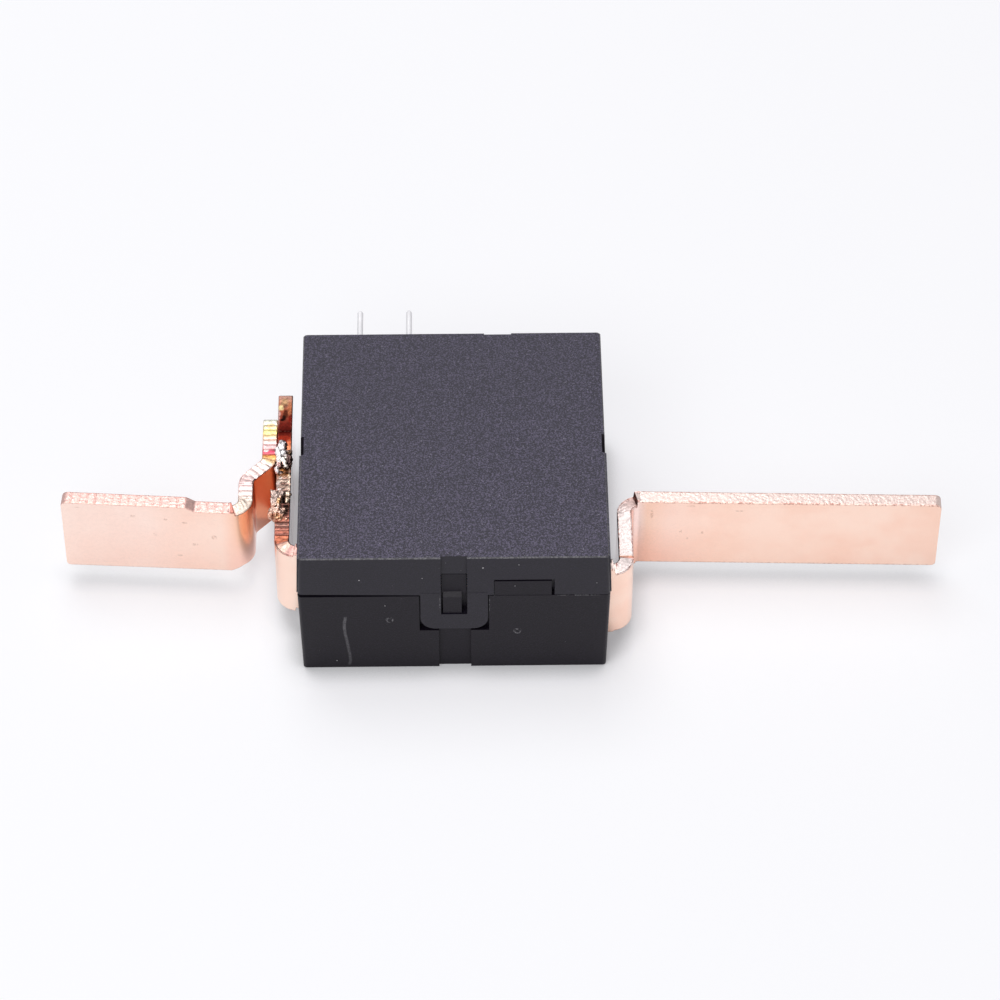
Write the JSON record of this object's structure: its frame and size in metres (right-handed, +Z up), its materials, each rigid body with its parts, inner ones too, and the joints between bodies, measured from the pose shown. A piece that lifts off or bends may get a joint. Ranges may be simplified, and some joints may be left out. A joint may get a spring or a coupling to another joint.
{
  "type": "latching relay",
  "caption": "Magnetic latching power relay in a black two-shell case, with bent copper load bars at both sides, a welded shunt and two coil pins.",
  "frame": {"origin": "centre of the case's flat underside", "axes": "+X along the right load arm, +Y to the back where the coil pins stand out, +Z up out of the cover"},
  "size_m": [0.0891, 0.0369, 0.0165],
  "materials": {
    "case": "fine spark-eroded texture on the top, satin walls",
    "copper": "bare bright copper with brushed faces",
    "manganin": "heat-tinted resistance alloy",
    "weld": "rough melted metal",
    "tinned_wire": "dull tin",
    "enamelled_wire": "enamelled copper wire",
    "nylon": "natural moulded nylon",
    "soft_iron": "zinc-plated soft iron",
    "magnet": "sintered magnet",
    "spring_alloy": "rolled spring copper",
    "silver": "silver alloy contact"
  },
  "bodies": {
    "case": {"base_housing": "case", "top_cover": "case", "fixed_terminal": "copper", "moving_terminal": "copper", "shunt_tail": "copper", "load_bar": "copper", "spring_rivets": "copper", "shunt_plate": "manganin", "weld_bead_front": "weld", "weld_bead_rear": "weld", "coil_pin_left": "tinned_wire", "coil_pin_right": "tinned_wire", "coil_winding": "enamelled_wire", "coil_leads": "enamelled_wire", "coil_bobbin": "nylon", "coil_core": "soft_iron", "yoke_front": "soft_iron", "yoke_rear": "soft_iron", "fixed_contacts": "silver"},
    "armature": {"armature_carrier": "nylon", "armature_plate_left": "soft_iron", "armature_plate_right": "soft_iron", "armature_magnet": "magnet"},
    "pusher": {"pusher_card": "nylon"},
    "contact_spring": {"spring_leaf_front": "spring_alloy", "spring_leaf_middle": "spring_alloy", "spring_leaf_back": "spring_alloy", "moving_contacts": "silver"}
  },
  "joints": [
    {"name": "armature_pivot", "type": "hinge", "parent": "case", "child": "armature", "pos_m": [0.00645, 0.00505, 0.007], "axis": [0, 0, 1], "range_deg": [0, 14]},
    {"name": "pusher_slide", "type": "slide", "parent": "case", "child": "pusher", "axis": [0, 1, 0], "range_m": [0, 0.00156]},
    {"name": "contact_swing", "type": "hinge", "parent": "case", "child": "contact_spring", "pos_m": [-0.0032, -0.00825, 0.007], "axis": [0, 0, 1], "range_deg": [0, 5.71], "deforming": ["spring_leaf_front", "spring_leaf_middle", "spring_leaf_back"]}
  ],
  "couplings": [
    {"joint": "pusher_slide", "follows": "armature_pivot", "m_per_rad": 0.006384},
    {"joint": "contact_swing", "follows": "armature_pivot", "ratio": 0.4073}
  ]
}
